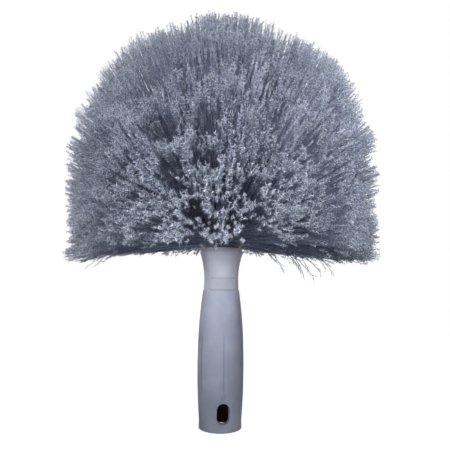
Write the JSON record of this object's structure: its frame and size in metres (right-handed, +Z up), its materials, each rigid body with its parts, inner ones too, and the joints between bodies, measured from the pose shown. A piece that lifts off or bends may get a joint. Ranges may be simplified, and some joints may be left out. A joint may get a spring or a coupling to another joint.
{
  "type": "cobweb brush",
  "caption": "Hand-held cobweb brush: a domed head of flagged bristle tufts set in a ball-shaped block, on a moulded hollow handle that takes an extension pole.",
  "frame": {"origin": "centre of the open mouth of the pole socket, in the plane of the handle's bottom rim", "axes": "+Z up the handle to the top of the bristle dome, -Y the side with the lock slot, +X to the right of it"},
  "size_m": [0.229, 0.229, 0.3054],
  "materials": {
    "grip_plastic": "satin moulded",
    "core_plastic": "satin moulded",
    "bush_plastic": "moulded",
    "block_plastic": "moulded",
    "bristle_fibre": "flagged filament",
    "anchor_wire": "flat wire",
    "fastener_steel": "zinc plated"
  },
  "bodies": {
    "root": {"grip_sleeve": "grip_plastic", "handle_core": "core_plastic", "thread_bush": "bush_plastic", "block_screw": "fastener_steel", "screw_washer": "fastener_steel", "brush_block": "block_plastic", "tuft_crown": "bristle_fibre", "tuft_ring_1": "bristle_fibre", "tuft_ring_2": "bristle_fibre", "tuft_ring_3": "bristle_fibre", "tuft_ring_4": "bristle_fibre", "tuft_ring_5": "bristle_fibre", "tuft_ring_6": "bristle_fibre", "anchor_crown": "anchor_wire", "anchor_ring_1": "anchor_wire", "anchor_ring_2": "anchor_wire", "anchor_ring_3": "anchor_wire", "anchor_ring_4": "anchor_wire", "anchor_ring_5": "anchor_wire", "anchor_ring_6": "anchor_wire"}
  },
  "joints": []
}
